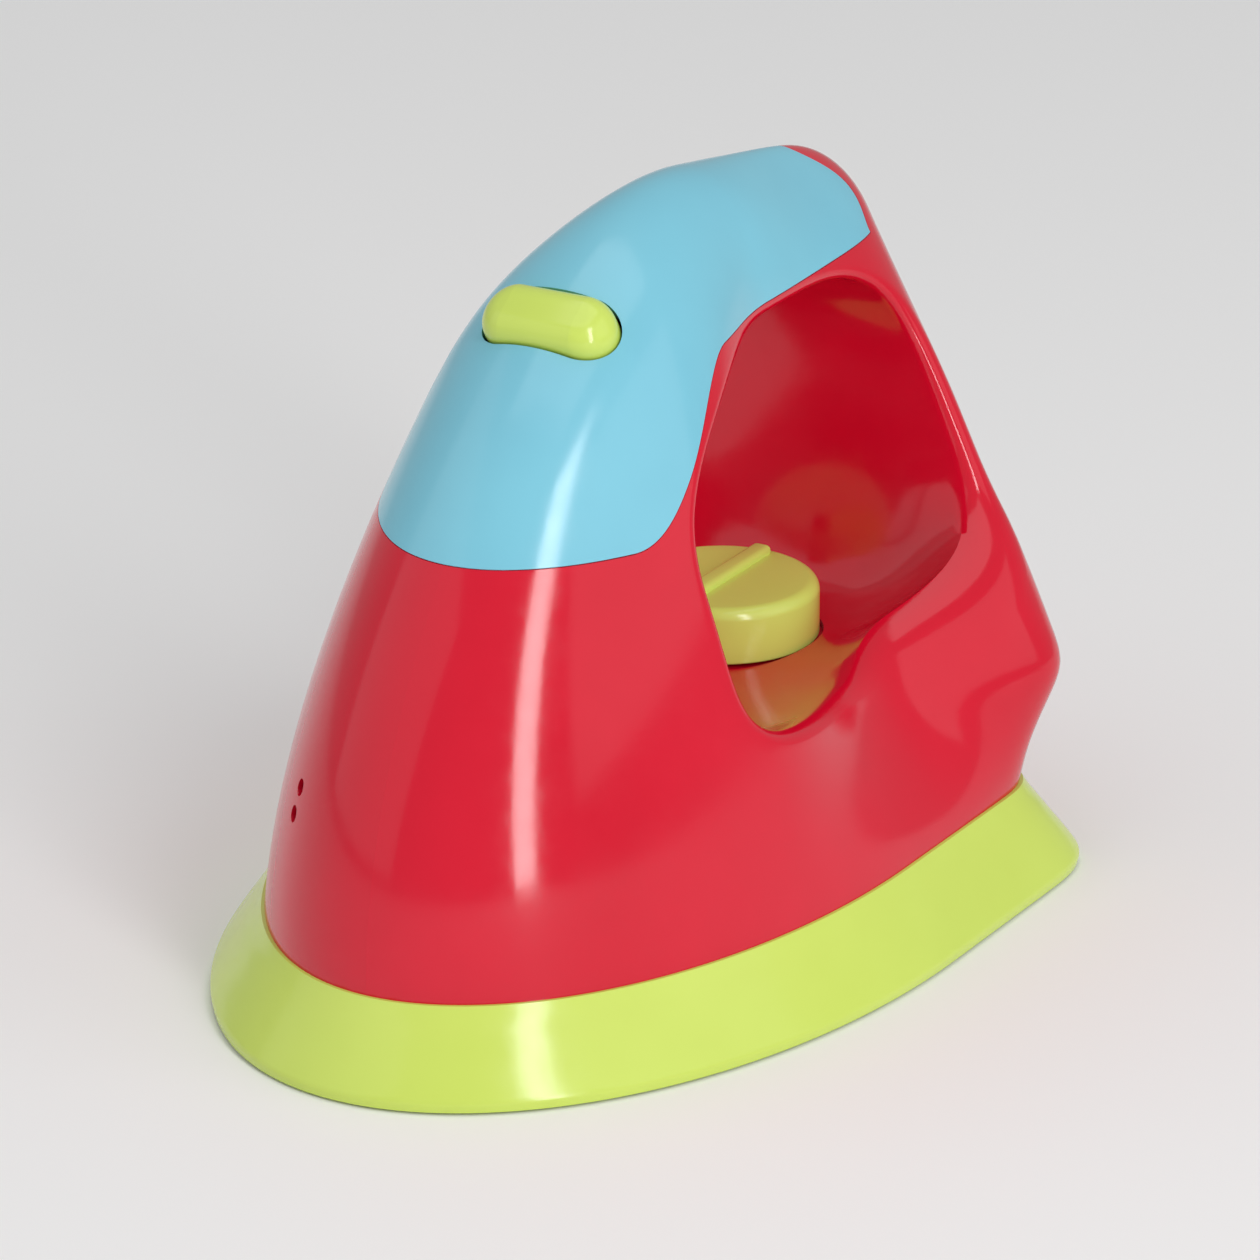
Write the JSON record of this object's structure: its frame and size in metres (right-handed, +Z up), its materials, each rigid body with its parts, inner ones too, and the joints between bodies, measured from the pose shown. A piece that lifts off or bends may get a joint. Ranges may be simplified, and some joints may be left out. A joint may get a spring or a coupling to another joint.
{
  "type": "toy iron",
  "caption": "Pretend-play iron with a closed hand opening, flared base skirt, sprung push button on the nose and a clicking dial under the handle.",
  "frame": {"origin": "middle of the base on the plane the sole rests on", "axes": "+X to the nose, +Y to the iron's left, +Z up"},
  "size_m": [0.14, 0.101, 0.1068],
  "materials": {
    "red_shell": "glossy moulded",
    "blue_cover": "glossy moulded",
    "lime_skirt": "glossy moulded",
    "lime_sole": "satin moulded",
    "lime_button": "glossy moulded",
    "white_guide": "plain moulded",
    "spring_steel": "drawn wire",
    "washer_steel": "stamped",
    "screw_steel": "zinc plated",
    "lime_dial": "glossy moulded"
  },
  "bodies": {
    "housing": {"left_shell": "red_shell", "right_shell": "red_shell", "top_cover": "blue_cover", "base_skirt": "lime_skirt", "sole_plate": "lime_sole", "button_guide": "white_guide", "button_spring": "spring_steel", "guide_screws": "screw_steel", "dial_bush": "white_guide", "click_spring": "spring_steel", "click_screw": "screw_steel", "shell_screws": "screw_steel", "sole_screws": "screw_steel"},
    "button": {"steam_button": "lime_button", "button_washer": "washer_steel", "button_screw": "screw_steel"},
    "dial": {"dial_knob": "lime_dial", "click_wheel": "white_guide", "dial_washer": "washer_steel", "dial_screw": "screw_steel"}
  },
  "joints": [
    {"name": "button_press", "type": "slide", "parent": "housing", "child": "button", "axis": [0.5797, 0, 0.8148], "range_m": [-0.002, 0], "stiffness_N_per_m": 400, "springref_m": 0.0015, "deforming": ["button_spring"]},
    {"name": "dial_turn", "type": "hinge", "parent": "housing", "child": "dial", "pos_m": [-0.03708, 0, 0.03], "axis": [0, 0, 1], "range_deg": [-120, 120], "deforming": ["click_spring"]}
  ]
}
